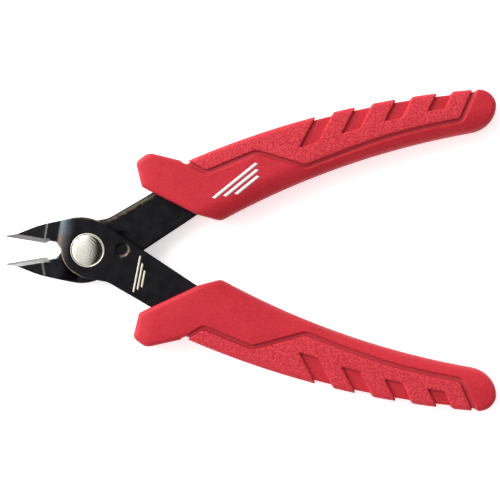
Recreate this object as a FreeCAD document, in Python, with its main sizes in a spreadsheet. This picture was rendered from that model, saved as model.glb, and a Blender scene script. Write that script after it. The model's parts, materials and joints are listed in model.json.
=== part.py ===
import FreeCAD, Part
import math
import os

import Sketcher

# A flush cutter lying flat, jaws towards -X and handles towards +X, with the pivot axis along Z.
# Each half is drawn closed, round the pivot, with its joint face at z = 0. The front half has its
# jaw at +Y and its handle at -Y; the rear half is drawn mirrored in Y and lies behind it. Both
# are then turned about the pivot to the sprung-open pose and set on the bench at z = 0.

DIMENSIONS = {
    "pivot_x": -42.89,
    "half_opening": 9.0,
    "plate_thick": 2.5,
    "joint_gap": 0.025,
    "closing_gap": 0.03,
    "jaw_back": 1.2,
    "jaw_front": 1.75,
    "jaw_root_front": 1.95,
    "ramp_front": 1.4,
    "tip_front": 0.45,
    "head_radius": 7.0,
    "head_clear": 7.14,
    "rivet_shank": 2.5,
    "rivet_hole": 2.53,
    "rivet_head": 4.52,
    "rivet_rim": 0.25,
    "rivet_dome": 1.0,
    "rear_head": 4.3,
    "rear_head_thick": 0.7,
    "spot_face": 4.85,
    "spot_depth": 0.15,
    "head_lift": 0.02,
    "coil_pocket": 4.0,
    "pocket_depth": 1.05,
    "coil_radius": 3.3,
    "wire_radius": 0.375,
    "coil_half_height": 0.6,
    "coil_turns": 1.54,
    "groove_half": 0.45,
    "stop_radius": 1.2,
    "stop_reach": 9.1,
    "stop_angle": 10.2,
    "stop_recess": 0.45,
    "dimple_inner": 1.3,
    "dimple_outer": 1.85,
    "slot_half": 1.25,
    "slot_end_radius": 2.7,
    "slot_end_reach": 9.5,
    "slot_end_angle": 5.3,
    "grip_half": 5.5,
    "grip_chamfer": 1.3,
    "outer_sweep": 237.5,
    "inner_sweep": 215.1,
    "pad_face": 0.9,
    "pad_side": 0.7,
    "channel_width": 1.1,
    "channel_depth": 0.5,
}
FRONT = 1
REAR = -1
FAR = 60.0

doc = FreeCAD.newDocument("flush_cutter")
sheet = doc.addObject("Spreadsheet::Sheet", "dims")
for row, (name, value) in enumerate(DIMENSIONS.items(), start=1):
    sheet.set(f"A{row}", name)
    sheet.set(f"B{row}", str(value))
    sheet.setAlias(f"B{row}", name)
doc.recompute()


def dim(name):
    return float(getattr(sheet, name))


def vec(x, y, z=0.0):
    return FreeCAD.Vector(x, y, z)


def polar(reach, degrees):
    angle = math.radians(degrees)
    return reach * math.cos(angle), reach * math.sin(angle)


def rounded(corners):
    """Lines and tangent arcs round a closed outline of (x, y, corner radius)."""
    count = len(corners)
    ends = []
    for index, (x, y, radius) in enumerate(corners):
        here = vec(x, y)
        before = vec(*corners[index - 1][:2]) - here
        after = vec(*corners[(index + 1) % count][:2]) - here
        before.normalize()
        after.normalize()
        half = before.getAngle(after) / 2
        if radius <= 0:
            ends.append((here, here, None))
            continue
        reach = radius / math.tan(half)
        middle = before + after
        middle.normalize()
        inset = radius / math.sin(half) - radius
        ends.append((here + before * reach, here + after * reach, here + middle * inset))
    edges = []
    for index, (start, end, through) in enumerate(ends):
        if through is not None:
            edges.append(Part.Arc(start, through, end))
        following = ends[(index + 1) % count][0]
        if end.distanceToPoint(following) > 1e-6:
            edges.append(Part.LineSegment(end, following))
    return edges


def flipped(corners, side):
    return [(x, side * y, radius) for x, y, radius in corners]


def offset(corners, distance):
    """The outline moved sideways by distance, to the left of its direction of travel."""
    count = len(corners)
    moved = []
    for index, (x, y, radius) in enumerate(corners):
        here = vec(x, y)
        inward = here - vec(*corners[index - 1][:2])
        onward = vec(*corners[(index + 1) % count][:2]) - here
        inward.normalize()
        onward.normalize()
        left_in = vec(-inward.y, inward.x)
        left_on = vec(-onward.y, onward.x)
        middle = left_in + left_on
        middle.normalize()
        shift = middle * (distance / middle.dot(left_in))
        turns_left = inward.cross(onward).z > 0
        new_radius = radius - distance if turns_left else radius + distance
        moved.append((x + shift.x, y + shift.y, max(new_radius, 0.3) if radius else 0))
    return moved


def turned(points, degrees):
    """Points, or outline corners, turned about the pivot."""
    cosine, sine = math.cos(math.radians(degrees)), math.sin(math.radians(degrees))
    return [(p[0] * cosine - p[1] * sine, p[0] * sine + p[1] * cosine, *p[2:]) for p in points]


def bar(start, end, half_width):
    """The corners of a straight bar from start to end."""
    along = vec(end[0] - start[0], end[1] - start[1])
    along.normalize()
    across = vec(-along.y, along.x) * half_width
    return [
        (start[0] + across.x, start[1] + across.y, 0),
        (start[0] - across.x, start[1] - across.y, 0),
        (end[0] - across.x, end[1] - across.y, 0),
        (end[0] + across.x, end[1] + across.y, 0),
    ]


# ---------------------------------------------------------------- features of a body


def new_body(name):
    body = doc.addObject("PartDesign::Body", name)
    body.Label = name
    return body


def sketch_on(body, role, geometry, height="0"):
    """A sketch on one of the body's own origin planes, raised by the height expression."""
    plane = next(f for f in body.Origin.OriginFeatures if f.Role == role)
    sketch = body.newObject("Sketcher::SketchObject", f"{body.Name}_sketch")
    sketch.AttachmentSupport = [(plane, "")]
    sketch.MapMode = "FlatFace"
    sketch.setExpression("AttachmentOffset.Base.z", height)
    sketch.addGeometry(geometry, False)
    return sketch


def circle_on(body, centre, radius, height):
    """A circle whose radius is bound to a cell of the sheet."""
    curve = Part.Circle(vec(*centre), vec(0, 0, 1), dim(radius))
    sketch = sketch_on(body, "XY_Plane", [curve], height)
    sketch.addConstraint(Sketcher.Constraint("Radius", 0, dim(radius)))
    sketch.setExpression("Constraints[0]", f"dims.{radius}")
    return sketch


def pad(body, sketch, length, symmetric=False):
    feature = body.newObject("PartDesign::Pad", f"{body.Name}_pad")
    feature.Profile = sketch
    feature.setExpression("Length", length)
    if symmetric:
        feature.SideType = "Symmetric"
    doc.recompute()
    return feature


def cut(body, sketch, length, upward=False, symmetric=False):
    """A pocket, which has to take material away."""
    before = body.Shape.Volume
    feature = body.newObject("PartDesign::Pocket", f"{body.Name}_pocket")
    feature.Profile = sketch
    feature.setExpression("Length", length)
    feature.Reversed = upward
    if symmetric:
        feature.SideType = "Symmetric"
    doc.recompute()
    if body.Shape.Volume >= before - 1e-3:
        raise ValueError(f"{feature.Label} cuts nothing")
    return feature


def dress(body, kind, picks, size):
    """A fillet or chamfer on the edges of the tip that the test picks."""
    base = body.Tip
    names = [f"Edge{i}" for i, edge in enumerate(base.Shape.Edges, start=1) if picks(edge)]
    if not names:
        raise ValueError(f"{body.Name}: no edge to {kind}")
    feature = body.newObject(f"PartDesign::{kind}", f"{body.Name}_{kind.lower()}")
    feature.Base = (base, names)
    feature.setExpression("Radius" if kind == "Fillet" else "Size", size)
    doc.recompute()
    return feature


def flat_at(height):
    """Picks the edges that lie in the plane z = height."""
    return lambda edge: all(abs(edge.valueAt(p).z - height) < 1e-4 for p in edge.ParameterRange) and (
        abs(edge.CenterOfMass.z - height) < 1e-4
    )


# ---------------------------------------------------------------- steel halves

JAW_TIP_X = -22.04
HEEL_X = -11.45
JAW_SHOULDER = (-13.6, 4.56)
HEAD_TOP = (-1.07, 9.39)
NOTCH_INNER = (-8.55, 0.85)
NOTCH_OUTER = (-10.45, 0.88)
BLOCK_END_X = -5.88
SLOPE_START_X = -5.2
SLOPE_END_X = -8.4
RAMP_X = {FRONT: -11.45, REAR: -12.15}
BEVEL_HEEL_X = {FRONT: -9.9, REAR: -10.7}
RAMP_RUN = 0.35

# Tangents of the round head leave at these two angles and meet half-way between them.
HEAD_START, HEAD_END = 250.0, 190.0


def half_outline():
    """The whole steel half in plan: jaw, round head, arm and the tang inside the grip."""
    spread = math.radians((HEAD_START - HEAD_END) / 2)
    head_corner = polar(dim("head_radius") / math.cos(spread), (HEAD_START + HEAD_END) / 2)
    edge = dim("closing_gap")
    return [
        (JAW_TIP_X, edge, 0),
        (*JAW_SHOULDER, 30),
        (*HEAD_TOP, 11),
        (36.0, -7.48, 20),
        (64.0, -15.6, 1.8),
        (64.0, -20.4, 1.8),
        (36.0, -18.9, 12),
        (6.6, -7.5, 6),
        (-0.3, -7.34, 2.5),
        (*head_corner, dim("head_radius")),
        (-6.96, -0.83, 1.2),
        (*NOTCH_INNER, 1.2),
        (*NOTCH_OUTER, 0.3),
        (HEEL_X, edge, 0),
    ]


def jaw_block_outline():
    """The part of the jaw that reaches into the other half's layer."""
    edge = dim("closing_gap")
    slope = (HEAD_TOP[1] - JAW_SHOULDER[1]) / (HEAD_TOP[0] - JAW_SHOULDER[0])
    end_y = JAW_SHOULDER[1] + slope * (BLOCK_END_X - JAW_SHOULDER[0])
    return [
        (JAW_TIP_X, edge, 0),
        (*JAW_SHOULDER, 30),
        (BLOCK_END_X, end_y, 0),
        (-4.0, 5.12, 0),
        (-5.0, 1.2, 0),
        (-7.6, 1.1, 0),
        (*NOTCH_INNER, 0),
        (*NOTCH_OUTER, 0.3),
        (HEEL_X, edge, 0),
    ]


def front_face_cut(side):
    """What is ground off above the jaw, seen from the side."""
    top = dim("plate_thick") if side == FRONT else dim("jaw_root_front")
    ramp_x = RAMP_X[side]
    clear = top + 1.0
    if side == FRONT:
        slope_start, slope_end = vec(SLOPE_START_X, top), vec(SLOPE_END_X, dim("jaw_front"))
        through = vec(-7.2, top - 0.27)
    else:
        slope_start, slope_end = vec(-8.6, top), vec(-10.1, dim("jaw_front"))
        through = vec(-9.5, top - 0.07)
    corners = [
        slope_end,
        vec(ramp_x, dim("jaw_front")),
        vec(ramp_x - RAMP_RUN, dim("ramp_front")),
        vec(JAW_TIP_X - 1, dim("tip_front")),
        vec(JAW_TIP_X - 1, clear),
        vec(slope_start.x, clear),
        slope_start,
    ]
    lines = [Part.LineSegment(a, b) for a, b in zip(corners, corners[1:])]
    return lines + [Part.Arc(slope_start, through, slope_end)]


def back_face_cut():
    """What is ground off behind the rear half's jaw to bring it to the flush plane."""
    low = -dim("plate_thick") - 1.0
    slope_start = vec(SLOPE_START_X, -dim("plate_thick"))
    slope_end = vec(SLOPE_END_X, -dim("jaw_back"))
    corners = [
        slope_end,
        vec(JAW_TIP_X - 1, slope_end.y),
        vec(JAW_TIP_X - 1, low),
        vec(slope_start.x, low),
        slope_start,
    ]
    lines = [Part.LineSegment(a, b) for a, b in zip(corners, corners[1:])]
    return lines + [Part.Arc(slope_start, vec(-7.4, -2.05), slope_end)]


def bevel_section(widths, heights, side):
    """The ground bevel's section: cutting edge, lower facet, upper facet, and the waste above it."""
    edge, back = dim("closing_gap"), -dim("jaw_back")
    waste_top, waste_side = 4.0, -1.0
    points = [vec(side * (edge - 0.001), back)]
    points += [vec(side * (edge + width), height) for width, height in zip(widths, heights)]
    points += [vec(side * (edge + widths[-1]), waste_top), vec(side * waste_side, waste_top)]
    points.append(vec(side * waste_side, back))
    return [Part.LineSegment(a, b) for a, b in zip(points, points[1:] + points[:1])]


def grind_bevel(body, side):
    """Two ground facets along the cutting edge, wider and lower towards the tip."""
    heel_section = bevel_section((0.5, 1.15), (0.2, 1.9), side)
    tip_section = bevel_section((0.8, 2.3), (-0.3, 0.75), side)
    heel = sketch_on(body, "YZ_Plane", heel_section, str(BEVEL_HEEL_X[side]))
    tip = sketch_on(body, "YZ_Plane", tip_section, str(JAW_TIP_X - 0.6))
    before = body.Shape.Volume
    loft = body.newObject("PartDesign::SubtractiveLoft", f"{body.Name}_bevel")
    loft.Profile = heel
    loft.Sections = [tip]
    loft.Ruled = True
    doc.recompute()
    if body.Shape.Volume >= before - 1e-3:
        raise ValueError("the bevel cuts nothing")


SPRING_LEG_FRONT = ((0.54, 3.26), (10.9, 1.55))
SPRING_LEG_REAR = ((0.29, -3.29), (8.3, -2.59))
COIL_STEPS = 36
MITRED = 1  # makePipeShell's transition for a path with corners


def pivot_features(body, side, leg):
    """The rivet's hole and seat, the spring's pocket and the groove for its leg."""
    outer = f"{side} * dims.plate_thick"
    hole = "rivet_hole" if side == FRONT else "rivet_shank"
    inner_face = f"{side} * dims.joint_gap"
    inward = side == FRONT
    cut(body, circle_on(body, (0, 0), hole, "-10"), "20", upward=True)
    cut(body, circle_on(body, (0, 0), "spot_face", outer), "dims.spot_depth", upward=not inward)
    cut(body, circle_on(body, (0, 0), "coil_pocket", inner_face), "dims.pocket_depth", upward=inward)
    corners = turned(bar(*leg, dim("groove_half")), side * dim("half_opening"))
    sketch = sketch_on(body, "XY_Plane", rounded(corners), inner_face)
    cut(body, sketch, "dims.pocket_depth", upward=inward)


def stop_hole(body):
    """The stop pin's hole in the front half, with the recess round its end."""
    centre = polar(dim("stop_reach"), dim("stop_angle"))
    cut(body, circle_on(body, centre, "stop_radius", "-10"), "20", upward=True)
    top = circle_on(body, centre, "dimple_outer", "dims.plate_thick")
    bottom = circle_on(body, centre, "dimple_inner", "dims.plate_thick - dims.stop_recess")
    loft = body.newObject("PartDesign::SubtractiveLoft", f"{body.Name}_dimple")
    loft.Profile = top
    loft.Sections = [bottom]
    doc.recompute()


def stop_slot(body):
    """The arc slot in the rear half that the stop pin runs in, with its wide closing end."""
    reach, half = dim("stop_reach"), dim("slot_half")
    closed = dim("stop_angle")
    opened = closed - 2 * dim("half_opening")
    inner, outer = reach - half, reach + half
    middle = (closed + opened) / 2
    back_end = math.degrees(half / reach)
    slot = [
        Part.Arc(vec(*polar(outer, opened)), vec(*polar(outer, middle)), vec(*polar(outer, closed))),
        Part.LineSegment(vec(*polar(outer, closed)), vec(*polar(inner, closed))),
        Part.Arc(vec(*polar(inner, closed)), vec(*polar(inner, middle)), vec(*polar(inner, opened))),
        Part.Arc(
            vec(*polar(inner, opened)),
            vec(*polar(reach, opened - back_end)),
            vec(*polar(outer, opened)),
        ),
    ]
    face = "-dims.joint_gap"
    cut(body, sketch_on(body, "XY_Plane", slot, face), "dims.pocket_depth")
    centre = polar(dim("slot_end_reach"), dim("slot_end_angle"))
    cut(body, circle_on(body, centre, "slot_end_radius", face), "dims.pocket_depth")


def blade_half(name, side, leg):
    body = new_body(name)
    plate = rounded(flipped(half_outline(), side))
    block = rounded(flipped(jaw_block_outline(), side))
    layer = "dims.plate_thick - dims.joint_gap"
    if side == FRONT:
        pad(body, sketch_on(body, "XY_Plane", plate, "dims.joint_gap"), layer)
        pad(body, sketch_on(body, "XY_Plane", block, "-dims.jaw_back"), "dims.jaw_back + 0.5")
        clearance = circle_on(body, (0, 0), "head_clear", "dims.joint_gap")
        cut(body, clearance, "dims.jaw_back + 1")
    else:
        pad(body, sketch_on(body, "XY_Plane", plate, "-dims.plate_thick"), layer)
        pad(body, sketch_on(body, "XY_Plane", block, "-0.5"), "dims.jaw_root_front + 0.5")
        clearance = circle_on(body, (0, 0), "head_clear", "-dims.joint_gap")
        cut(body, clearance, "dims.plate_thick + 1", upward=True)
        cut(body, sketch_on(body, "XZ_Plane", back_face_cut()), str(FAR), symmetric=True)
    cut(body, sketch_on(body, "XZ_Plane", front_face_cut(side)), str(FAR), symmetric=True)
    grind_bevel(body, side)
    pivot_features(body, side, leg)
    if side == FRONT:
        stop_hole(body)
    else:
        stop_slot(body)
    return body


# ---------------------------------------------------------------- rivet, stop pin and spring


def pivot_rivet():
    """Domed front head, shank and flat rear head, turned about the pivot axis."""
    body = new_body("pivot_rivet")
    shank, head, rear = dim("rivet_shank"), dim("rivet_head"), dim("rear_head")
    seat = dim("plate_thick") - dim("spot_depth")
    under = seat + dim("head_lift")
    rim = under + dim("rivet_rim")
    crown = under + dim("rivet_dome")
    bottom = -seat - dim("rear_head_thick")
    rise = crown - rim
    sphere = (head**2 + rise**2) / (2 * rise)
    half_angle = math.asin(head / sphere) / 2
    dome_x = sphere * math.sin(half_angle)
    dome_z = crown - sphere + sphere * math.cos(half_angle)
    lines = [
        (vec(0, bottom), vec(rear - 0.3, bottom)),
        (vec(rear - 0.3, bottom), vec(rear, bottom + 0.3)),
        (vec(rear, bottom + 0.3), vec(rear, -seat)),
        (vec(rear, -seat), vec(shank, -seat)),
        (vec(shank, -seat), vec(shank, under)),
        (vec(shank, under), vec(head, under)),
        (vec(head, under), vec(head, rim)),
        (vec(0, crown), vec(0, bottom)),
    ]
    profile = [Part.LineSegment(a, b) for a, b in lines]
    profile.append(Part.Arc(vec(head, rim), vec(dome_x, dome_z), vec(0, crown)))
    revolution = body.newObject("PartDesign::Revolution", "pivot_rivet_turned")
    sketch = sketch_on(body, "XZ_Plane", profile)
    revolution.Profile = sketch
    revolution.ReferenceAxis = (sketch, ["V_Axis"])
    revolution.Angle = 360
    doc.recompute()
    return body


def stop_pin():
    """A plain pin through the front half, standing into the rear half's slot."""
    pin = doc.addObject("Part::Cylinder", "stop_pin")
    pin.Label = "stop_pin"
    pin.setExpression("Radius", "dims.stop_radius")
    pin.setExpression("Height", "dims.plate_thick - dims.stop_recess + dims.pocket_depth - 0.05")
    pin.setExpression("Placement.Base.x", "dims.stop_reach * cos(dims.stop_angle)")
    pin.setExpression("Placement.Base.y", "dims.stop_reach * sin(dims.stop_angle)")
    pin.setExpression("Placement.Base.z", "0.05 - dims.pocket_depth")
    doc.recompute()
    return pin


def return_spring():
    """A torsion spring of one wire: a leg, the coil bent in short steps, and the other leg."""
    wire, radius, turns = dim("wire_radius"), dim("coil_radius"), dim("coil_turns")
    half_height = dim("coil_half_height")
    start = math.atan2(SPRING_LEG_REAR[0][1], SPRING_LEG_REAR[0][0])
    path = [vec(*SPRING_LEG_REAR[1], -half_height)]
    for step in range(COIL_STEPS + 1):
        part = step / COIL_STEPS
        angle = start - 2 * math.pi * turns * part
        height = half_height * (2 * part - 1)
        path.append(vec(radius * math.cos(angle), radius * math.sin(angle), height))
    path.append(vec(*SPRING_LEG_FRONT[1], half_height))
    section = Part.Wire(Part.makeCircle(wire, path[0], path[1] - path[0]))
    spring = doc.addObject("Part::Feature", "return_spring")
    spring.Label = "return_spring"
    spring.Shape = Part.makePolygon(path).makePipeShell([section], True, False, MITRED)
    return spring


# ---------------------------------------------------------------- grips


def grip_outline():
    """A grip in plan, from its nose round the long outer sweep to the end and back inside."""
    return [
        (16.3, -14.2, 2.1),
        (15.8, -21.4, 2.1),
        (19.9, -22.9, 3.0),
        (29.6, -19.0, 0.9),
        (67.66, -28.80, dim("outer_sweep")),
        (112.45, -25.5, 4.6),
        (112.4, -14.9, 5.9),
        (69.04, -13.80, dim("inner_sweep")),
        (35.87, -2.09, 2.4),
        (30.0, -4.75, 2.4),
    ]


def pad_outline():
    """The textured pad's area, open past the grip's outer edge."""
    return [
        (29.6, -32.0, 0),
        (29.6, -19.4, 0),
        (33.5, -15.85, 1.0),
        (46.9, -19.2, 3.5),
        (60.2, -13.25, 1.6),
        (85.9, -18.63, 150.0),
        (102.0, -18.8, 1.2),
        (110.6, -32.0, 0),
    ]


def core_outline():
    """Everything inside the pad's side wall, along the outer sweep."""
    side = dim("pad_side")
    reach = 38.9
    slope_in, slope_out = 0.2565, 0.0739
    corner_x, corner_y = 67.66, -28.80 + side
    return [
        (corner_x, corner_y, dim("outer_sweep") - side),
        (corner_x + reach + 1.2, corner_y + slope_out * (reach + 1.2), 0),
        (corner_x + reach + 1.2, 10.0, 0),
        (corner_x - reach, 10.0, 0),
        (corner_x - reach, corner_y + slope_in * reach, 0),
    ]


def side_strip_outline():
    """The strip of the grip's outer edge that the pad's side wall and the channel's ends take."""
    core = core_outline()
    return [core[0], core[1], (core[1][0], -40.0, 0), (core[4][0], -40.0, 0), core[4]]


WINDOW_COUNT = 4
WINDOW_PITCH = 11.6
WINDOW_LEAN = 0.75
WINDOW_CORNER = 0.25
OUTER_SWEEP_CENTRE = (89.0, 210.92)


def window_outline(index):
    """One slanted window of the pad, shorter towards the handle's end."""
    left = 59.3 + WINDOW_PITCH * index
    depth = 6.9 - 0.8 * index
    width_low, width_high = 5.1 - 0.2 * index, 4.3 - 0.15 * index
    sweep_x, sweep_y = OUTER_SWEEP_CENTRE
    edge_y = sweep_y - math.sqrt(dim("outer_sweep") ** 2 - (left - sweep_x) ** 2)
    low_y, high_y = edge_y + depth, edge_y - 3.0
    lean = WINDOW_LEAN * (low_y - high_y)
    return [
        (left, low_y, WINDOW_CORNER),
        (left + width_low, low_y - 0.8 + 0.25 * index, WINDOW_CORNER),
        (left + lean + width_high, high_y, 0),
        (left + lean, high_y, 0),
    ]


def grip_blank(body, side):
    outline = rounded(flipped(grip_outline(), side))
    pad(body, sketch_on(body, "XY_Plane", outline), "2 * dims.grip_half", True)
    top = dim("grip_half")
    dress(body, "Chamfer", lambda edge: flat_at(top)(edge) or flat_at(-top)(edge), "dims.grip_chamfer")


def face_cuts(body, outline, depth):
    """The same pocket from both faces of a grip."""
    cut(body, sketch_on(body, "XY_Plane", outline, "dims.grip_half"), depth)
    cut(body, sketch_on(body, "XY_Plane", outline, "-dims.grip_half"), depth, upward=True)


def grip_sleeve(name, side):
    body = new_body(name)
    grip_blank(body, side)
    strip = rounded(flipped(side_strip_outline(), side))
    cut(body, sketch_on(body, "XY_Plane", strip), str(FAR), symmetric=True)
    face_cuts(body, rounded(flipped(pad_outline(), side)), "dims.pad_face")
    channel = offset(pad_outline(), dim("channel_width"))
    face_cuts(body, rounded(flipped(channel, side)), "dims.channel_depth")
    tang = rounded(flipped(half_outline(), side))
    floor = "dims.joint_gap" if side == FRONT else "-dims.plate_thick"
    slot = sketch_on(body, "XY_Plane", tang, floor)
    cut(body, slot, "dims.plate_thick - dims.joint_gap", upward=True)
    return body


def grip_pad(name, side):
    body = new_body(name)
    grip_blank(body, side)
    frame = [(0, -50, 0), (0, 20, 0), (130, 20, 0), (130, -50, 0)]
    outside = rounded(flipped(frame, side)) + rounded(flipped(pad_outline(), side))
    cut(body, sketch_on(body, "XY_Plane", outside), str(FAR), symmetric=True)
    core = sketch_on(body, "XY_Plane", rounded(flipped(core_outline(), side)))
    cut(body, core, "2 * (dims.grip_half - dims.pad_face)", symmetric=True)
    for index in range(WINDOW_COUNT):
        window = rounded(flipped(window_outline(index), side))
        cut(body, sketch_on(body, "XY_Plane", window), str(FAR), symmetric=True)
    return body


# ---------------------------------------------------------------- assembly


def place(piece, degrees):
    """Turns a piece about the pivot and sets it on the bench with its grips resting."""
    turn = FreeCAD.Placement(vec(0, 0), FreeCAD.Rotation(vec(0, 0, 1), degrees))
    lift = FreeCAD.Placement(vec(dim("pivot_x"), 0, dim("grip_half")), FreeCAD.Rotation())
    if piece.isDerivedFrom("Part::Cylinder"):
        for name in ("x", "y", "z"):
            piece.setExpression(f"Placement.Base.{name}", None)
    piece.Placement = lift * turn * piece.Placement


opening = dim("half_opening")
placed = [
    (blade_half("front_blade_half", FRONT, SPRING_LEG_FRONT), -opening),
    (grip_sleeve("front_grip_sleeve", FRONT), -opening),
    (grip_pad("front_grip_pad", FRONT), -opening),
    (stop_pin(), -opening),
    (blade_half("rear_blade_half", REAR, SPRING_LEG_REAR), opening),
    (grip_sleeve("rear_grip_sleeve", REAR), opening),
    (grip_pad("rear_grip_pad", REAR), opening),
    (pivot_rivet(), 0),
    (return_spring(), 0),
]
for piece, degrees in placed:
    place(piece, degrees)
doc.recompute()

for item in doc.Objects:
    if "Invalid" in item.State or "Error" in item.State:
        raise ValueError(f"{item.Label} failed: {item.State}")

os.makedirs("parts", exist_ok=True)
for piece, _ in placed:
    shape = piece.Shape
    if shape.isNull() or not shape.isValid() or len(shape.Solids) != 1:
        raise ValueError(f"{piece.Label} isn't one valid solid")
    shape.exportStep(f"parts/{piece.Label}.step")
    box = shape.BoundBox
    print(f"{piece.Label}: {shape.Volume:.1f} mm3, x {box.XMin:.2f}..{box.XMax:.2f}, "
          f"y {box.YMin:.2f}..{box.YMax:.2f}, z {box.ZMin:.2f}..{box.ZMax:.2f}")
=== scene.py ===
import json
import math

import bpy
import numpy as np
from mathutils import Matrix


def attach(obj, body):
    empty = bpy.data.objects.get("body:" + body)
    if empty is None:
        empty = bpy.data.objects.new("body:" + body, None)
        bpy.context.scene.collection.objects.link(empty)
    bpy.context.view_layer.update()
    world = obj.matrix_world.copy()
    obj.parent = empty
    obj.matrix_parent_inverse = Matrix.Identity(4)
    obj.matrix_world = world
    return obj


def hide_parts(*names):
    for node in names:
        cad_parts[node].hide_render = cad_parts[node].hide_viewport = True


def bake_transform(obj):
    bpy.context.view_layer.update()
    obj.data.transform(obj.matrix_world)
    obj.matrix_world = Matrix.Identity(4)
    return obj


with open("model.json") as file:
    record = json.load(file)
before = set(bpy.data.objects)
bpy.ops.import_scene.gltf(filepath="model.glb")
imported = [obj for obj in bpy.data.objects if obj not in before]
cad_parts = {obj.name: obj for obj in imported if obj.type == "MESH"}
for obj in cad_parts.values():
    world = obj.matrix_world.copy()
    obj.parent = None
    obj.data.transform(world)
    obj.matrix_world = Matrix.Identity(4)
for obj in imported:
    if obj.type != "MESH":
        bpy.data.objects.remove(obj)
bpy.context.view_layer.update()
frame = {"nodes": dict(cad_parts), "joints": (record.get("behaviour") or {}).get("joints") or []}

import openvdb
from mathutils import Vector

# Shapes are worked out in millimetres in the frame of a closed half: the pivot is the origin, the
# front half's jaw is at +Y and its handle at -Y. FRONT and REAR mirror Y and turn the half open.
MM = 0.001
FRONT, REAR = 1, -1
PIVOT = next(j for j in frame["joints"] if j["name"] == "pivot")
PIVOT_AT = np.array(PIVOT["pos_m"])
HALF_OPENING = math.radians(PIVOT["range_deg"][1]) / 2
BODY = {FRONT: "front_half", REAR: "rear_half"}
SIDE_NAME = {FRONT: "front", REAR: "rear"}

PLATE, GAP = 2.5, 0.025
EDGE_GAP, JAW_BACK = 0.03, -1.2
JAW_TIP_X, HEEL_X = -22.04, -11.45
GRIP_HALF = 5.5
FAR_AWAY = 1e9
OUTER_SWEEP, INNER_SWEEP = 237.5, 215.1
OUTER_CENTRE, INNER_CENTRE = (89.0, 210.92), (108.59, 200.35)

# The two ground facets, as the value at the heel and its change out to the tip: the slope next to
# the cutting edge, the slope beyond it, and the width of the first facet.
STEEP, SHALLOW, FIRST_FACET = (3.0, -1.7), (1.6, -0.3), (0.5, 0.1)

RIVET_HOLE = {FRONT: 2.53, REAR: 2.5}
SPOT_FACE, SPOT_DEPTH = 4.85, 0.15
COIL_POCKET, POCKET_DEPTH, GROOVE_HALF, WIRE_RADIUS = 4.0, 1.05, 0.45, 0.375
SPRING_LEGS = {FRONT: ((0.54, 3.26), (10.9, 1.55)), REAR: ((0.29, -3.29), (8.3, -2.59))}
STOP_REACH, STOP_ANGLE, STOP_RADIUS = 9.1, math.radians(10.2), 1.2
STOP_AT = (STOP_REACH * math.cos(STOP_ANGLE), STOP_REACH * math.sin(STOP_ANGLE))
DIMPLE_RADIUS, DIMPLE_DEPTH, DIMPLE_FLARE = 1.3, 0.45, 0.55
SLOT_HALF = 1.25
SLOT_END_REACH, SLOT_END_ANGLE, SLOT_END_RADIUS = 9.5, math.radians(5.3), 2.7


# ---------------------------------------------------------------- fields


def smooth(low, high, value):
    """A soft step from 0 at low to 1 at high, which may be the smaller of the two."""
    t = np.clip((value - low) / (high - low), 0, 1)
    return t * t * (3 - 2 * t)


def round_max(a, b, radius):
    """The part inside both fields, with its edge rounded."""
    u, v = np.maximum(a + radius, 0), np.maximum(b + radius, 0)
    return np.minimum(np.maximum(a, b), -radius) + np.sqrt(u * u + v * v)


def bevel_max(a, b, size):
    """The part inside both fields, with its edge chamfered."""
    return np.maximum(np.maximum(a, b), (a + b + size) * math.sqrt(0.5))


def rounded(corners, step=0.35):
    """Points round a closed outline of (x, y, corner radius)."""
    count = len(corners)
    points = []
    for index, (x, y, radius) in enumerate(corners):
        here = Vector((x, y))
        before = (Vector(corners[index - 1][:2]) - here).normalized()
        after = (Vector(corners[(index + 1) % count][:2]) - here).normalized()
        half = before.angle(after) / 2
        if radius <= 0:
            points.append((x, y))
            continue
        centre = here + (before + after).normalized() * (radius / math.sin(half))
        start = here + before * (radius / math.tan(half)) - centre
        sweep = (math.pi - 2 * half) * (1 if before.x * after.y - before.y * after.x < 0 else -1)
        steps = max(3, math.ceil(radius * abs(sweep) / step))
        for k in range(steps + 1):
            turn = sweep * k / steps
            cosine, sine = math.cos(turn), math.sin(turn)
            points.append((
                centre.x + start.x * cosine - start.y * sine,
                centre.y + start.x * sine + start.y * cosine,
            ))
    return points


def outline_field(points, x, y):
    """Signed distance to a closed outline, negative inside."""
    best = np.full(x.shape, FAR_AWAY)
    inside = np.zeros(x.shape, bool)
    for (ax, ay), (bx, by) in zip(points, points[1:] + points[:1]):
        ex, ey = bx - ax, by - ay
        length = ex * ex + ey * ey
        if length < 1e-12:
            continue
        t = np.clip(((x - ax) * ex + (y - ay) * ey) / length, 0, 1)
        best = np.minimum(best, (x - ax - t * ex) ** 2 + (y - ay - t * ey) ** 2)
        if ay != by:
            inside ^= ((ay > y) != (by > y)) & (x < ex * (y - ay) / ey + ax)
    return np.where(inside, -1.0, 1.0) * np.sqrt(best)


def grid(low, high, voxel):
    axes = [np.arange(a, b + voxel, voxel) for a, b in zip(low, high)]
    return np.meshgrid(*axes, indexing="ij")


def to_world(points, side):
    """Points of a closed half, in millimetres, moved to the sprung-open pose in the row frame."""
    turn = -side * HALF_OPENING
    x, y = points[:, 0], points[:, 1] * side
    world = np.stack([
        x * math.cos(turn) - y * math.sin(turn),
        x * math.sin(turn) + y * math.cos(turn),
        points[:, 2],
    ], axis=1)
    return world * MM + PIVOT_AT


def new_piece(name, vertices, faces):
    mesh = bpy.data.meshes.new(name)
    mesh.from_pydata(vertices, [], faces)
    mesh.update()
    mesh.polygons.foreach_set("use_smooth", np.full(len(mesh.polygons), True))
    piece = bpy.data.objects.new(name, mesh)
    bpy.context.scene.collection.objects.link(piece)
    return piece


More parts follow.
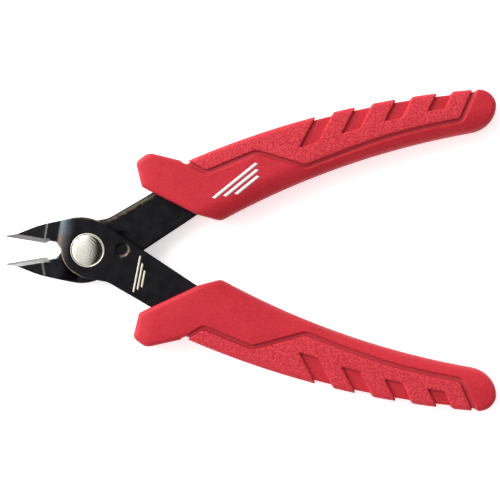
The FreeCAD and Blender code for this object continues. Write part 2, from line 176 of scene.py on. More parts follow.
def mesh_field(name, field, low, voxel, side, adaptivity=0.0, crease=0):
    """The field's zero surface as a piece that keeps its closed-half coordinates."""
    volume = openvdb.FloatGrid()
    volume.background = 1.0
    volume.copyFromArray(field.astype(np.float32))
    points, triangles, quads = volume.convertToPolygons(isovalue=0.0, adaptivity=adaptivity)
    local = points * voxel + np.array(low)
    if side == FRONT:
        triangles, quads = triangles[:, ::-1], quads[:, ::-1]
    piece = new_piece(name, to_world(local, side).tolist(), triangles.tolist() + quads.tolist())
    if crease:
        piece.data.set_sharp_from_angle(angle=math.radians(crease))
    layer = piece.data.attributes.new("local", "FLOAT_VECTOR", "POINT")
    layer.data.foreach_set("vector", local.astype(np.float32).ravel())
    return piece, local


def set_mask(piece, name, values):
    layer = piece.data.attributes.new(name, "FLOAT", "POINT")
    layer.data.foreach_set("value", np.clip(values, 0, 1).astype(np.float32))


def mount(piece, side, slot, *nodes):
    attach(piece, BODY[side])
    if nodes:
        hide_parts(*nodes)


# ---------------------------------------------------------------- materials


class Shader:
    """A small helper that adds nodes to one material and links them."""

    def __init__(self, name):
        self.material = bpy.data.materials.new(name)
        self.material.use_nodes = True
        self.tree = self.material.node_tree
        self.bsdf = self.tree.nodes["Principled BSDF"]

    def put(self, socket, value):
        if hasattr(value, "is_output"):
            self.tree.links.new(value, socket)
        else:
            socket.default_value = value

    def set(self, **values):
        for name, value in values.items():
            self.put(self.bsdf.inputs[name.replace("_", " ")], value)

    def node(self, kind, inputs=(), output=0, **settings):
        made = self.tree.nodes.new(kind)
        for name, value in settings.items():
            setattr(made, name, value)
        for key, value in dict(inputs).items():
            self.put(made.inputs[key], value)
        return made.outputs[output]

    def attribute(self, name, output=1):
        return self.node("ShaderNodeAttribute", output=output, attribute_name=name)

    def mask(self, name):
        return self.attribute(name, output=2)

    def math(self, operation, *values):
        return self.node("ShaderNodeMath", dict(enumerate(values)), operation=operation)

    def span(self, value, low, high, out_low=0.0, out_high=1.0):
        inputs = {0: value, 1: low, 2: high, 3: out_low, 4: out_high}
        return self.node("ShaderNodeMapRange", inputs, interpolation_type="SMOOTHSTEP")

    def noise(self, vector, scale, detail=2.0, roughness=0.5):
        inputs = {"Vector": vector, "Scale": scale, "Detail": detail, "Roughness": roughness}
        return self.node("ShaderNodeTexNoise", inputs)

    def cells(self, vector, scale, smoothness):
        inputs = {"Vector": vector, "Scale": scale, "Smoothness": smoothness}
        return self.node("ShaderNodeTexVoronoi", inputs, feature="SMOOTH_F1")

    def stretch(self, vector, x, y, z):
        return self.node("ShaderNodeMapping", {"Vector": vector, "Scale": (x, y, z)})

    def mix(self, factor, a, b):
        made = self.tree.nodes.new("ShaderNodeMix")
        made.data_type = "RGBA"
        self.put(made.inputs[0], factor)
        self.put(made.inputs[6], a)
        self.put(made.inputs[7], b)
        return made.outputs[2]

    def bump(self, height, strength, distance):
        inputs = {"Height": height, "Strength": strength, "Distance": distance}
        return self.node("ShaderNodeBump", inputs)

    def split(self, vector):
        made = self.tree.nodes.new("ShaderNodeSeparateXYZ")
        self.put(made.inputs[0], vector)
        return made.outputs


RED = (0.47, 0.012, 0.024, 1)
RED_DEEP = (0.41, 0.009, 0.018, 1)
RED_LIGHT = (0.54, 0.026, 0.040, 1)
RED_PAD_LIGHT = (0.60, 0.036, 0.052, 1)
# Painted shade for the channel round the pad.
RED_CHANNEL_SHADE = (0.37, 0.020, 0.030, 1)
GRIP_GLOSS = 0.28


def sleeve_material():
    """Smooth moulded red, with a very fine spark-eroded texture."""
    s = Shader("sleeve_red")
    local = s.attribute("local")
    cloud = s.noise(local, 0.12, 3.0)
    mottle = s.noise(local, 1.9, 3.0, 0.6)
    fine = s.noise(local, 7.0, 3.0, 0.6)
    colour = s.mix(s.span(cloud, 0.3, 0.7), RED_DEEP, RED)
    colour = s.mix(s.span(mottle, 0.42, 0.68, 0.0, 0.5), colour, RED_LIGHT)
    # Painted shade: the channel round the pad is made darker and duller, as shade in a recess.
    s.set(
        Base_Color=s.mix(s.mask("channel"), colour, RED_CHANNEL_SHADE),
        Roughness=s.span(fine, 0.3, 0.7, 0.46, 0.60),
        Normal=s.bump(fine, 0.6, 0.00008),
        Specular_IOR_Level=GRIP_GLOSS,
    )
    return s.material


def pad_material():
    """Softer red with a pebbled grain."""
    s = Shader("pad_red")
    local = s.attribute("local")
    warp = s.noise(local, 1.4, 2.0)
    grain = s.cells(s.stretch(local, 1.0, 1.15, 1.0), 2.3, 0.35)
    small = s.noise(local, 5.5, 3.0, 0.65)
    height = s.math("ADD", s.math("MULTIPLY", grain, 0.8), s.math("MULTIPLY", small, 0.7))
    height = s.math("ADD", height, s.math("MULTIPLY", warp, 0.4))
    colour = s.mix(s.span(small, 0.35, 0.7), RED_DEEP, RED)
    patches = s.span(s.noise(local, 1.7, 3.0, 0.65), 0.40, 0.60)
    colour = s.mix(patches, colour, RED_PAD_LIGHT)
    s.set(
        Base_Color=s.mix(s.span(height, 0.8, 1.25, 0.0, 0.45), colour, RED_LIGHT),
        Roughness=s.span(height, 0.6, 1.2, 0.52, 0.68),
        Normal=s.bump(height, 0.8, 0.00022),
        Specular_IOR_Level=GRIP_GLOSS,
    )
    return s.material


def ground_mask(s, x, y, z):
    """Where the steel is on the ground bevel, and on the facet next to the cutting edge."""
    along = s.node("ShaderNodeMapRange", {0: x, 1: HEEL_X, 2: JAW_TIP_X, 3: 0.0, 4: 1.0})
    steep, shallow, first = (
        s.math("MULTIPLY_ADD", along, change, at_heel) for at_heel, change in (STEEP, SHALLOW, FIRST_FACET)
    )
    across = s.math("SUBTRACT", y, EDGE_GAP)
    beyond = s.math("SUBTRACT", across, first)
    lower = s.math("MULTIPLY", steep, across)
    upper = s.math("ADD", s.math("MULTIPLY", steep, first), s.math("MULTIPLY", shallow, beyond))
    height = s.math("ADD", s.math("MINIMUM", lower, upper), JAW_BACK)
    off = s.math("ABSOLUTE", s.math("SUBTRACT", z, height))
    on_bevel = s.span(off, 0.05, 0.12, 1.0, 0.0)
    on_jaw = s.math("MULTIPLY", s.span(x, -10.3, -10.5), s.span(y, 3.0, 2.8))
    on_edge = s.span(beyond, -0.03, 0.03, 1.0, 0.0)
    return s.math("MULTIPLY", on_bevel, on_jaw), on_edge


# The dull and bright tones of ground steel. Each half scales them by its own painted light level: the
# steel is the same on both, and the rear jaw's bevel is painted lighter and the front jaw's darker, for
# how the light falls on them.
GROUND_STEEL = ((0.20, 0.192, 0.19), (0.36, 0.35, 0.345))
BEVEL_PAINTED_LIGHT = {FRONT: 0.6, REAR: 1.3}


def steel_material(side):
    """Black-oxide steel with bare ground bevels, worn edges partly painted as highlights, a heat tint by
    the front jaw under a painted highlight, a painted highlight on the jaw's ramp, painted shade on the
    facet by the cutting edge, and the rear jaw's bevel painted lighter than the front's.
    """
    s = Shader(f"{SIDE_NAME[side]}_steel")
    local = s.attribute("local")
    x, y, z = s.split(local)
    speck = s.noise(local, 6.0, 3.0, 0.6)
    cloud = s.noise(local, 0.35, 3.0)
    dark = s.mix(s.span(speck, 0.52, 0.72), (0.0105, 0.0105, 0.0115, 1), (0.024, 0.024, 0.026, 1))
    dark = s.mix(s.span(cloud, 0.35, 0.7), dark, (0.017, 0.017, 0.019, 1))
    # Heat tint by the front jaw with a painted highlight over it: the tint grows brighter towards the left
    # end of the slope, where the light falls on it.
    rise = s.span(y, 0.0, 7.0)
    drift = s.math("MULTIPLY", s.math("SUBTRACT", cloud, 0.5), 2.2)
    along = s.math("ADD", x, drift)
    temper_and_highlight = s.mix(s.span(rise, 0.10, 0.50), (0.150, 0.118, 0.078, 1), (0.125, 0.150, 0.160, 1))
    violet = s.mix(s.span(rise, 0.2, 0.9), (0.070, 0.060, 0.062, 1), (0.066, 0.080, 0.100, 1))
    tint = s.mix(s.span(along, -8.6, -6.0), temper_and_highlight, violet)
    painted_highlight_falloff = s.math("MULTIPLY", s.span(along, -3.8, -7.4), s.span(speck, 0.25, 0.6, 0.5, 1.0))
    colour = s.mix(s.math("MULTIPLY", s.mask("temper_and_highlight"), painted_highlight_falloff), dark, tint)
    # Worn rims partly, painted highlight partly: lighter gold lines along edges, and the dimple's rim lit
    # on one side only.
    wear_noise = s.span(s.noise(local, 0.8, 3.0), 0.3, 0.6, 0.45, 1.0)
    wear_and_highlight = s.math("MULTIPLY", s.mask("wear_and_highlight"), wear_noise)
    colour = s.mix(wear_and_highlight, colour, (0.24, 0.20, 0.135, 1))
    streak = s.noise(s.stretch(local, 0.5, 9.0, 9.0), 1.6, 3.0, 0.65)
    ground, shaded_first_facet = ground_mask(s, x, y, z)
    # Painted light: one ground steel, scaled lighter on the rear jaw's bevel and darker on the front
    # jaw's.
    dull, bright = (tuple(BEVEL_PAINTED_LIGHT[side] * c for c in tone) + (1,) for tone in GROUND_STEEL)
    bare = s.mix(s.span(streak, 0.3, 0.7), dull, bright)
    # Painted shade: the facet next to the cutting edge is made darker than the rest of the same ground
    # bevel.
    bare = s.mix(s.math("MULTIPLY", shaded_first_facet, 0.7), bare, (0.10, 0.095, 0.093, 1))
    # Painted highlight: the narrow step of the ramp up to the jaw's front face is made lighter.
    colour = s.mix(s.math("MULTIPLY", s.mask("ramp"), 0.5), colour, (0.20, 0.19, 0.175, 1))
    colour = s.mix(ground, colour, bare)
    rough = s.span(speck, 0.3, 0.7, 0.40, 0.52)
    height = s.math("ADD", speck, s.math("MULTIPLY", s.math("MULTIPLY", streak, ground), 1.5))
    s.set(
        Base_Color=colour,
        Roughness=s.math("SUBTRACT", rough, s.math("MULTIPLY", ground, 0.12)),
        Normal=s.bump(height, 0.3, 0.00004),
        Metallic=1.0,
    )
    return s.material


def rivet_material():
    """Bright nickel with the arcs that the heading tool left."""
    s = Shader("rivet_nickel")
    position = s.node("ShaderNodeTexCoord", output=3)
    centred = s.node("ShaderNodeMapping", {"Vector": position, "Location": tuple(-PIVOT_AT)})
    x, y = s.split(centred)[:2]
    shifted = s.math("ADD", x, 0.0006)
    squares = s.math("ADD", s.math("MULTIPLY", shifted, shifted), s.math("MULTIPLY", y, y))
    radius = s.math("SQRT", squares)
    wobble = s.math("MULTIPLY", s.noise(centred, 420.0, 2.0), 0.0009)
    rings = s.math("SINE", s.math("MULTIPLY", s.math("ADD", radius, wobble), 7500.0))
    patch = s.span(s.noise(centred, 520.0, 3.0), 0.42, 0.62)
    arcs = s.math("MULTIPLY", rings, patch)
    fine = s.noise(centred, 5200.0, 2.0)
    s.set(
        Base_Color=s.mix(s.span(fine, 0.3, 0.7), (0.58, 0.555, 0.49, 1), (0.68, 0.66, 0.59, 1)),
        Roughness=s.span(patch, 0.0, 1.0, 0.12, 0.2),
        Normal=s.bump(s.math("ADD", arcs, fine), 0.7, 0.000018),
        Metallic=1.0,
    )
    return s.material


def wire_material():
    """Plain drawn spring wire."""
    s = Shader("spring_wire")
    drawn = s.noise(s.node("ShaderNodeTexCoord", output=3), 2500.0, 2.0)
    s.set(
        Base_Color=s.mix(drawn, (0.30, 0.30, 0.31, 1), (0.50, 0.50, 0.52, 1)),
        Roughness=s.span(drawn, 0.3, 0.7, 0.28, 0.4),
        Metallic=1.0,
    )
    return s.material


def ink_material(name, colour, roughness):
    """The thin printed or etched marks."""
    s = Shader(name)
    position = s.node("ShaderNodeTexCoord", output=3)
    fleck = s.noise(position, 6000.0, 3.0)
    worn = tuple(c * 0.86 for c in colour[:3]) + (1,)
    s.set(
        Base_Color=s.mix(s.span(fleck, 0.35, 0.65), worn, colour),
        Roughness=s.span(fleck, 0.3, 0.7, roughness, 0.7),
    )
    return s.material


# ---------------------------------------------------------------- grips

# The two grips aren't quite alike: the rear one's nose is shorter and its pad's first corners sit
# further along.
NOSE_SHIFT = {FRONT: 0.0, REAR: 0.75}
FIRST_CORNER_SHIFT = {FRONT: 0.0, REAR: 0.8}
SECOND_CORNER_SHIFT = {FRONT: 0.0, REAR: 1.05}


def grip_outline(side):
    """The whole grip seen from the front, from its nose round the handle's end."""
    nose = NOSE_SHIFT[side]
    return rounded([
        (16.0 + nose, -14.2, 1.0),
        (15.45 + nose, -20.9, 1.6),
        (19.2 + nose, -22.85, 2.8),
        (29.2, -18.9, 0.6),
        (67.66, -28.80, OUTER_SWEEP),
        (112.2, -25.4, 4.7),
        (112.2, -14.9, 7.2),
        (69.04, -13.80, INNER_SWEEP),
        (35.87, -2.09, 2.4),
        (30.0, -4.75, 1.2),
    ], 1.0)


def pad_outline(side):
    """The softer pad's zone, which runs out over the grip's outer edge."""
    return rounded([
        (29.1, -32.0, 0),
        (29.1, -19.6, 0),
        (33.5 + FIRST_CORNER_SHIFT[side], -15.85, 1.0),
        (46.9 + SECOND_CORNER_SHIFT[side], -19.1, 3.5),
        (60.2, -13.25, 1.6),
        (85.9, -18.63, 150.0),
        (102.0, -18.8, 1.2),
        (110.6, -32.0, 0),
    ], 1.0)


GRIP_LOW, GRIP_HIGH = (14.6, -28.4, -6.1), (114.0, -0.4, 6.1)
GRIP_VOXEL = 0.25
FACE_CLEARANCE = 0.04
CHANNEL_WIDTH, CHANNEL_DEPTH = 1.1, 0.6
PAD_DEPTH, PAD_LAP = 0.85, 0.1
WINDOW_COUNT, FIRST_WINDOW_X, WINDOW_PITCH, WINDOW_LEAN = 4, 59.3, 11.6, 0.75
WINDOW_OVERRUN = 3.0


def window_outline(index):
    """One slanted window of the pad, shorter towards the handle's end."""
    left = FIRST_WINDOW_X + WINDOW_PITCH * index
    depth = 6.9 - 0.8 * index
    width_low, width_high = 5.1 - 0.2 * index, 4.3 - 0.15 * index
    edge_y = OUTER_CENTRE[1] - math.sqrt(OUTER_SWEEP**2 - (left - OUTER_CENTRE[0]) ** 2)
    low_y, high_y = edge_y + depth, edge_y - WINDOW_OVERRUN
    lean = WINDOW_LEAN * (low_y - high_y)
    return [
        (left, low_y, 0.15),
        (left + width_low, low_y - 0.8 + 0.25 * index, 0.2),
        (left + lean + width_high, high_y, 0),
        (left + lean, high_y, 0),
    ]


def face_height(x, y, plan):
    """Half the grip's thickness: crowned, and sloping away to the inner edge and the nose."""
    from_inner = np.hypot(x - INNER_CENTRE[0], y - INNER_CENTRE[1]) - INNER_SWEEP
    inner = np.clip(1 - from_inner / 5.6, 0, 1)
    nose = np.clip(1 - (x - 16.0) / 5.0, 0, 1)
    crown = np.clip(1 + plan / 6.0, 0, 1)
    return GRIP_HALF - FACE_CLEARANCE - 2.3 * inner**2 - 0.5 * nose**2 - 0.2 * crown**2


def grip_fields(side):
    """The sleeve, with the pad's bed and channel sunk into it, and the pad with its windows."""
    x, y, z = grid(GRIP_LOW, GRIP_HIGH, GRIP_VOXEL)
    flat_x, flat_y = x[:, :, :1], y[:, :, :1]
    plan = outline_field(grip_outline(side), flat_x, flat_y)
    height = face_height(flat_x, flat_y, plan)
    whole = round_max(np.abs(z) - height, plan, 1.15)
    pad_zone = outline_field(pad_outline(side), flat_x, flat_y)
    recess = PAD_DEPTH * (1 - smooth(-0.1, 0.1, pad_zone))
    channel = CHANNEL_DEPTH * (1 - smooth(CHANNEL_WIDTH - 0.12, CHANNEL_WIDTH + 0.12, pad_zone))
    sleeve = whole + np.maximum(recess, channel)
    windows = np.full(flat_x.shape, FAR_AWAY)
    for index in range(WINDOW_COUNT):
        windows = np.minimum(windows, outline_field(rounded(window_outline(index)), flat_x, flat_y))
    pad = round_max(whole, pad_zone + 0 * z, 0.2)
    pad = round_max(pad, -windows + 0 * z, 0.4)
    pad = np.maximum(pad, -(whole + PAD_DEPTH + PAD_LAP))
    return sleeve, pad


def make_grips(sleeve_red, pad_red):
    for side in (FRONT, REAR):
        sleeve, pad = grip_fields(side)
        name = SIDE_NAME[side]
        for part, field, material, slot in (
            ("sleeve", sleeve, sleeve_red, "grip_red"),
            ("pad", pad, pad_red, "pad_red"),
        ):
            title = f"{name}_grip_{part}_moulding"
            piece, local = mesh_field(title, field, GRIP_LOW, GRIP_VOXEL, side)
            from_pad = outline_field(pad_outline(side), local[:, 0], local[:, 1])
            past_pad = smooth(0.0, 0.2, from_pad)
            short_of_rim = smooth(CHANNEL_WIDTH, CHANNEL_WIDTH - 0.2, from_pad)
            # Marks the channel round the pad for its painted shade.
            set_mask(piece, "channel", past_pad * short_of_rim * (part == "sleeve"))
            piece.data.materials.append(material)
            mount(piece, side, slot, f"{name}_grip_{part}")


# ---------------------------------------------------------------- steel halves

HEAD_RADIUS, HEAD_CLEAR = 7.0, 7.14
HEAD_START, HEAD_END = 250.0, 190.0
BLOCK_END = math.radians(119.0)
SLOPE_START_X, SLOPE_END_X = -5.2, -8.4
RAMP_X = {FRONT: -11.45, REAR: -12.15}
BLADE_LOW, BLADE_HIGH = (-22.6, -20.6, -2.8), (35.0, 9.3, 2.8)
BLADE_VOXEL = 0.12
TIP_FRONT, RAMP_FRONT, JAW_FRONT = 0.45, 1.40, 1.75
# The height of each half at its jaw's root, and where along X it slopes down to the jaw.
JAW_ROOT = {FRONT: (PLATE, SLOPE_START_X, SLOPE_END_X), REAR: (1.95, -8.6, -10.1)}
# The tang is cut off a little way inside the grip's mouth, square to the arm.
MOUTH_AT, MOUTH_NORMAL, INTO_GRIP = (16.27, -14.25), (0.552, -0.834), 4.0


def half_outline():
    """A steel half seen from the front: jaw, head and arm, with the tang longer than it is kept."""
    spread = math.radians((HEAD_START - HEAD_END) / 2)
    middle = math.radians((HEAD_START + HEAD_END) / 2)
    reach = HEAD_RADIUS / math.cos(spread)
    return rounded([
        (JAW_TIP_X, EDGE_GAP, 0),
        (JAW_TIP_X, 0.42, 0),
        (-19.1, 1.35, 6),
        (-13.6, 4.56, 30),
        (-1.07, 9.39, 11),
        (36.0, -7.48, 20),
        (64.0, -15.6, 1.8),
        (64.0, -20.4, 1.8),
        (36.0, -18.9, 12),
        (6.6, -7.5, 6),
        (-0.3, -7.34, 2.5),
        (reach * math.cos(middle), reach * math.sin(middle), HEAD_RADIUS),
        (-6.96, -0.83, 1.2),
        (-8.55, 0.85, 1.2),
        (-10.45, 0.88, 0.3),
        (HEEL_X, EDGE_GAP, 0),
    ], 0.2)


def front_height(x, side):
    """The height of the half's front face along the jaw."""
    root, start, end = JAW_ROOT[side]
    slope = np.clip((start - x) / (start - end), 0, 1)
    height = root - (root - JAW_FRONT) * slope**2
    ramp = RAMP_X[side]
    points = [JAW_TIP_X - 1, ramp - 0.35, ramp]
    return np.where(x < ramp, np.interp(x, points, [TIP_FRONT, RAMP_FRONT, JAW_FRONT]), height)


def bevel_height(x, y):
    """The two ground facets above the cutting edge, flatter towards the tip."""
    along = np.clip((HEEL_X - x) / (HEEL_X - JAW_TIP_X), 0, 1)
    steep, shallow, first = (at_heel + change * along for at_heel, change in (STEEP, SHALLOW, FIRST_FACET))
    across = y - EDGE_GAP + 6.0 * np.maximum(x + 10.2, 0)
    height = JAW_BACK + np.minimum(steep * across, steep * first + shallow * (across - first))
    return height, steep


def bar_field(start, end, half_width, x, y):
    """Distance to a straight bar with round ends."""
    ax, ay = start
    ex, ey = end[0] - ax, end[1] - ay
    t = np.clip(((x - ax) * ex + (y - ay) * ey) / (ex * ex + ey * ey), 0, 1)
    return np.hypot(x - ax - t * ex, y - ay - t * ey) - half_width


def turned(point, angle):
    cosine, sine = math.cos(angle), math.sin(angle)
    return point[0] * cosine - point[1] * sine, point[0] * sine + point[1] * cosine


def arc_field(reach, low, high, half_width, x, y):
    """Distance to an arc about the pivot, with round ends."""
    angle = np.clip(np.arctan2(y, x), low, high)
    return np.hypot(x - reach * np.cos(angle), y - reach * np.sin(angle)) - half_width


def plate_and_block(side, flat_x, flat_y, z, radius):
    """The lapping plate, and the thicker block that carries the jaw in front of it."""
    plan = outline_field(half_outline(), flat_x, flat_y)
    past_mouth = (flat_x - MOUTH_AT[0]) * MOUTH_NORMAL[0] + (flat_y - MOUTH_AT[1]) * MOUTH_NORMAL[1]
    plan = np.maximum(plan, past_mouth - INTO_GRIP)
    top = front_height(flat_x, side)
    radial = math.sin(BLOCK_END) * flat_x - math.cos(BLOCK_END) * flat_y
    notch_side = np.where(flat_x > -9.5, 0.85 + 0.263 * (flat_x + 8.55) - flat_y, -9.0)
    block_plan = np.maximum(np.maximum(plan, HEAD_CLEAR - radius), np.maximum(radial, notch_side))
    if side == FRONT:
        plate = np.maximum(bevel_max(plan, z - top, 0.2), GAP - z)
        block = np.maximum(np.maximum(block_plan, z - top), JAW_BACK - z)
    else:
        back_slope = np.clip((SLOPE_START_X - flat_x) / (SLOPE_START_X - SLOPE_END_X), 0, 1)
        back = -PLATE + (PLATE + JAW_BACK) * back_slope**2
        plate = np.maximum(bevel_max(plan, z + GAP, 0.42), bevel_max(plan, back - z, 0.2))
        block = np.maximum(bevel_max(block_plan, z - top, 0.15), back - z)
        block = round_max(block, (z + 0.6 * radial) * 0.86, 0.6)
    return np.minimum(plate, block)


def spring_room(side, flat_x, flat_y, face, radius):
    """The pocket for the coil and the groove for this half's leg."""
    start, end = (turned(p, side * HALF_OPENING) for p in SPRING_LEGS[side])
    groove = bar_field((start[0], side * start[1]), (end[0], side * end[1]), GROOVE_HALF, flat_x, flat_y)
    return np.maximum(np.minimum(radius - COIL_POCKET, groove), face - POCKET_DEPTH)


def stop_room(side, flat_x, flat_y, z, face):
    """The front half's pin hole and dimple, or the rear half's slot, which ends in a round."""
    if side == FRONT:
        from_stop = np.hypot(flat_x - STOP_AT[0], flat_y - STOP_AT[1])
        dimple_floor = PLATE - DIMPLE_DEPTH
        dimple = from_stop - DIMPLE_RADIUS - (z - dimple_floor) * (DIMPLE_FLARE / DIMPLE_DEPTH)
        return np.minimum(from_stop - STOP_RADIUS, np.maximum(dimple * 0.63, dimple_floor - z))
    slot = arc_field(STOP_REACH, STOP_ANGLE - 2 * HALF_OPENING, STOP_ANGLE, SLOT_HALF, flat_x, -flat_y)
    end_x, end_y = turned((SLOT_END_REACH, 0), -SLOT_END_ANGLE)
    slot_end = np.hypot(flat_x - end_x, flat_y - end_y) - SLOT_END_RADIUS
    return np.maximum(np.minimum(slot, slot_end), face - POCKET_DEPTH)


def blade_field(side, x, y, z):
    """The steel half in its own closed frame; the rear half's Y is mirrored."""
    flat_x, flat_y = x[:, :, :1], y[:, :, :1]
    radius = np.hypot(flat_x, flat_y)
    face = z if side == FRONT else -z
    solid = plate_and_block(side, flat_x, flat_y, z, radius)
    bevel, steep = bevel_height(flat_x, flat_y)
    solid = np.maximum(solid, (z - bevel) / np.sqrt(1 + steep**2))
    spot_face = np.maximum(radius - SPOT_FACE, PLATE - SPOT_DEPTH - face)
    rooms = (
        radius - RIVET_HOLE[side],
        spot_face,
        spring_room(side, flat_x, flat_y, face, radius),
        stop_room(side, flat_x, flat_y, z, face),
    )
    for room in rooms:
        solid = np.maximum(solid, -room)
    return solid


def blade_masks(piece, local, side):
    """Where the steel is worn bright, partly as painted highlight; tinted by heat under a painted
    highlight; and the painted highlight on the ramp up to the jaw's front face.
    """
    x, y, z = local.T
    top = front_height(x, side)
    # Painted highlight on the step of the ramp up to the jaw's front face.
    set_mask(piece, "ramp", smooth(0.28, 0.14, np.abs(x - RAMP_X[side] + 0.17)) * (z > 1.2))
    plan = outline_field(half_outline(), x, y)
    if side == FRONT:
        edge = (plan + z - top + 0.2) * math.sqrt(0.5)
        on_rim = (1 - smooth(0.02, 0.10, np.abs(edge))) * (x > -9.0)
        head_rim = (1 - smooth(-2.5, 1.0, x)) * (y < 3.5) + 0.35 * (y > 7.0) * (x < 2.0)
        stop_x, stop_y = x - STOP_AT[0], y - STOP_AT[1]
        from_stop = np.hypot(stop_x, stop_y)
        lit_side = smooth(-0.2, 0.9, (stop_x - 0.45 * stop_y) / np.maximum(from_stop, 0.1))
        # Painted highlight: the dimple's rim is lightened only on its lit side.
        dimple_rim_highlight = smooth(0.34, 0.1, np.abs(from_stop - 1.75)) * lit_side * (z > 2.0) * 0.6
        set_mask(piece, "wear_and_highlight", on_rim * head_rim + dimple_rim_highlight)
        # The heat-tinted slope by the front jaw, which also carries a painted highlight.
        set_mask(piece, "temper_and_highlight", (z > 1.6) * smooth(-8.5, -7.7, x))
    else:
        # A lighter line inside the rear arm's upper edge, partly worn metal and partly painted highlight.
        inside_edge = smooth(0.45, 0.1, np.abs(plan + 0.75)) * (z > -0.5)
        outer_arm = smooth(2.0, 9.0, x) * (y < -1.0 - 0.45 * x)
        set_mask(piece, "wear_and_highlight", inside_edge * outer_arm * 0.6)
        set_mask(piece, "temper_and_highlight", np.zeros(len(x)))


def make_blades(steel):
    x, y, z = grid(BLADE_LOW, BLADE_HIGH, BLADE_VOXEL)
    for side in (FRONT, REAR):
        name = SIDE_NAME[side]
        piece, local = mesh_field(
            f"{name}_blade_steel", blade_field(side, x, y, z), BLADE_LOW, BLADE_VOXEL, side,
            adaptivity=0.01, crease=24,
        )
        blade_masks(piece, local, side)
        piece.data.materials.append(steel[side])
        mount(piece, side, "blackened_steel", f"{name}_blade_half")


# ---------------------------------------------------------------- rivet, stop pin and spring


def lathe(name, profile, segments=128):
    """A closed piece turned about the pivot; the (radius, height) points start and end on the axis."""
    rings = profile[1:-1]
    vertices = [(0, 0, profile[0][1])]
    for radius, height in rings:
        for k in range(segments):
            angle = 2 * math.pi * k / segments
            vertices.append((radius * math.cos(angle), radius * math.sin(angle), height))
    vertices.append((0, 0, profile[-1][1]))
    last = len(vertices) - 1
    faces = []
    for k in range(segments):
        follow = (k + 1) % segments
        faces.append((0, 1 + follow, 1 + k))
        for ring in range(len(rings) - 1):
            a = 1 + ring * segments
            faces.append((a + k, a + follow, a + segments + follow, a + segments + k))
        base = 1 + (len(rings) - 1) * segments
        faces.append((base + k, base + follow, last))
    world = np.array(vertices) * MM + PIVOT_AT
    return new_piece(name, world.tolist(), faces)


def rivet_profile():
    """The rear head, the shank, and the front head: a flat rim round a low dome."""
    seat = PLATE - SPOT_DEPTH
    under = seat + 0.02
    flange = under + 0.24
    rear_head = [(3.9, -seat - 0.7), (4.15, -seat - 0.62), (4.3, -seat - 0.42), (4.3, -seat)]
    shank = [(2.5, -seat), (2.5, under)]
    rim = [
        (4.45, under), (4.52, under + 0.07), (4.52, flange - 0.12), (4.49, flange - 0.04),
        (4.42, flange), (4.26, flange), (4.18, flange - 0.04),
    ]
    foot, radius, rise, steps = flange - 0.14, 4.12, 0.84, 21
    turns = [math.pi / 2 * (1 - k / steps) for k in range(steps)]
    dome = [(radius * math.sin(turn), foot + rise * math.cos(turn)) for turn in turns]
    return [(0, -seat - 0.7)] + rear_head + shank + rim + dome + [(0, foot + rise)]


def make_rivet(nickel):
    piece = lathe("pivot_rivet_nickel", rivet_profile())
    piece.data.materials.append(nickel)
    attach(piece, BODY[REAR])
    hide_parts("pivot_rivet")


def make_spring(wire):
    """The torsion spring as one round wire; its legs run out into the two halves' grooves as they stand
    open.
    """
    radius, rise, turns, steps = 3.3, 1.2, 1.54, 48
    start = math.atan2(SPRING_LEGS[REAR][0][1], SPRING_LEGS[REAR][0][0])
    points = [(*SPRING_LEGS[REAR][1], -rise / 2)]
    for k in range(steps + 1):
        part = k / steps
        angle = start - 2 * math.pi * turns * part
        points.append((radius * math.cos(angle), radius * math.sin(angle), rise * (part - 0.5)))
    points.append((*SPRING_LEGS[FRONT][1], rise / 2))
    curve = bpy.data.curves.new("return_spring_wire", "CURVE")
    curve.dimensions = "3D"
    curve.bevel_depth = WIRE_RADIUS * MM
    curve.bevel_resolution = 4
    curve.use_fill_caps = True
    spline = curve.splines.new("POLY")
    spline.points.add(len(points) - 1)
    for point, place in zip(spline.points, points):
        point.co = (*(np.array(place) * MM + PIVOT_AT), 1)
    holder = bpy.data.objects.new("spring_curve", curve)
    bpy.context.scene.collection.objects.link(holder)
    depsgraph = bpy.context.evaluated_depsgraph_get()
    mesh = bpy.data.meshes.new_from_object(holder.evaluated_get(depsgraph))
    bpy.data.objects.remove(holder)
    mesh.materials.clear()
    mesh.materials.append(wire)
    piece = bpy.data.objects.new("return_spring_wire", mesh)
    bpy.context.scene.collection.objects.link(piece)
    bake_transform(piece)
    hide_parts("return_spring")


# ---------------------------------------------------------------- generic marks


def bars(name, centre, angle, lengths, width, pitch, lean, height_at, side, material, slot):
    """A row of plain slanted bars, a stand-in mark with no meaning, laid on a face."""
    cosine, sine = math.cos(angle), math.sin(angle)
    steps = 24
    vertices, faces = [], []
    for index, length in enumerate(lengths):
        across = (index - (len(lengths) - 1) / 2) * pitch
        for k in range(steps + 1):
            u = (k / steps - 0.5) * length
            for v in (-width / 2, width / 2):
                a, b = u + lean * (across + v), across + v
                x, y = centre[0] + a * cosine - b * sine, centre[1] + a * sine + b * cosine
                vertices.append((x, y, height_at(x, y)))
        base = index * 2 * (steps + 1)
        for k in range(steps):
            a = base + 2 * k
            quad = (a, a + 2, a + 3, a + 1)
            faces.append(quad if side == FRONT else quad[::-1])
    piece = new_piece(name, to_world(np.array(vertices), side).tolist(), faces)
    thickness = piece.modifiers.new("ink", "SOLIDIFY")
    thickness.thickness = 0.03 * MM
    thickness.offset = 0.0
    piece.data.materials.append(material)
    mount(piece, side, slot)


def make_marks(ink, etch):
    """Plain bars where the real tool carries its marks."""
    def on_grip(x, y):
        place = np.array([x]), np.array([y])
        plan = outline_field(grip_outline(REAR), *place)
        return float(face_height(*place, plan)[0]) + 0.02

    bars("rear_grip_print", (42.75, -11.1), math.radians(-30), (14.5, 11.0, 7.5), 0.75, 1.45, 0.6,
         on_grip, REAR, ink, "grip_red")
    bars("front_plate_etch", (14.75, -4.7), math.radians(-92), (9.6, 7.0, 4.4), 0.5, 0.95, 0.5,
         lambda x, y: PLATE + 0.02, FRONT, etch, "blackened_steel")


# ---------------------------------------------------------------- stage

FRAME_WIDTH = 132.1
LENS, SENSOR = 200.0, 36.0
FLOOR_HALF = 1.5


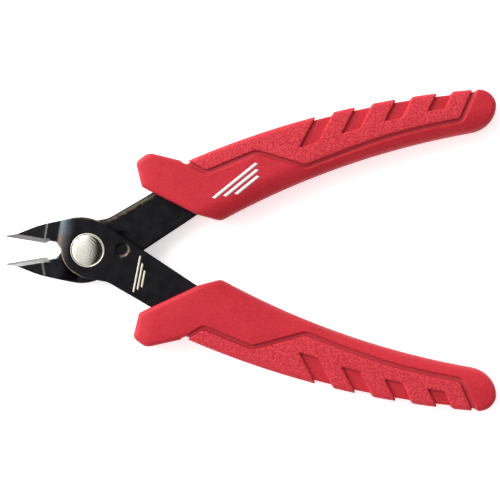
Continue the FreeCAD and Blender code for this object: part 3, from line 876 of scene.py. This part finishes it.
def add_sky(tree):
    """A soft white tent: bright on the left and at the far side, and dark high on the right."""
    direction = tree.nodes.new("ShaderNodeTexCoord").outputs["Generated"]
    axes = tree.nodes.new("ShaderNodeSeparateXYZ")
    tree.links.new(direction, axes.inputs[0])

    def span(value, low, high, out_low, out_high):
        made = tree.nodes.new("ShaderNodeMapRange")
        made.interpolation_type = "SMOOTHSTEP"
        for index, given in enumerate((value, low, high, out_low, out_high)):
            if hasattr(given, "is_output"):
                tree.links.new(given, made.inputs[index])
            else:
                made.inputs[index].default_value = given
        return made.outputs[0]

    def combine(operation, a, b):
        made = tree.nodes.new("ShaderNodeMath")
        made.operation = operation
        tree.links.new(a, made.inputs[0])
        tree.links.new(b, made.inputs[1])
        return made.outputs[0]

    lengthwise = span(axes.outputs[0], -0.20, 0.30, 1.32, 0.03)
    across = span(axes.outputs[1], -0.8, 0.8, 0.7, 1.3)
    overhead = combine("MULTIPLY", lengthwise, across)
    far_left = span(axes.outputs[0], -0.9, -0.45, 0.9, 0.0)
    near_floor = combine("MULTIPLY", span(axes.outputs[2], 0.2, 0.6, 1.0, 0.0),
                         span(axes.outputs[1], -0.7, 0.7, 0.55, 1.6))
    level = combine("MAXIMUM", combine("ADD", overhead, far_left), near_floor)
    tree.links.new(level, tree.nodes["Background"].inputs[1])
    tree.nodes["Background"].inputs[0].default_value = (1, 1, 1, 1)


def make_stage():
    scene = bpy.context.scene
    scene.view_settings.view_transform = "Standard"
    floor_mesh = bpy.data.meshes.new("floor")
    corners = [(FLOOR_HALF * x, FLOOR_HALF * y, 0) for x, y in ((-1, -1), (1, -1), (1, 1), (-1, 1))]
    floor_mesh.from_pydata(corners, [], [(0, 1, 2, 3)])
    floor = bpy.data.objects.new("floor", floor_mesh)
    scene.collection.objects.link(floor)
    s = Shader("floor_white")
    s.set(Base_Color=(0.93, 0.93, 0.93, 1), Roughness=0.9)
    s.set(Emission_Color=(1, 1, 1, 1), Emission_Strength=0.5)
    floor_mesh.materials.append(s.material)

    world = bpy.data.worlds.new("studio")
    world.use_nodes = True
    add_sky(world.node_tree)
    scene.world = world

    light = bpy.data.lights.new("key", "AREA")
    light.shape = "SQUARE"
    light.size = 0.7
    light.energy = 7.0
    lamp = bpy.data.objects.new("key", light)
    lamp.location = (-0.54, 0.44, 0.46)
    lamp.rotation_euler = lamp.location.to_track_quat("Z", "Y").to_euler()
    scene.collection.objects.link(lamp)

    camera = bpy.data.cameras.new("camera")
    camera.lens, camera.sensor_width = LENS, SENSOR
    distance = FRAME_WIDTH * MM * LENS / SENSOR
    eye = bpy.data.objects.new("camera", camera)
    eye.location = (-0.0001, 0.00005, float(PIVOT_AT[2]) + distance)
    scene.collection.objects.link(eye)
    scene.camera = eye


make_stage()
make_grips(sleeve_material(), pad_material())
steel = {side: steel_material(side) for side in (FRONT, REAR)}
make_blades(steel)
make_rivet(rivet_material())
make_spring(wire_material())
make_marks(ink_material("print_white", (0.86, 0.86, 0.86, 1), 0.5),
           ink_material("etched_steel", (0.62, 0.58, 0.46, 1), 0.45))
pin = frame["nodes"]["stop_pin"]
pin.data.materials.clear()
pin.data.materials.append(steel[FRONT])
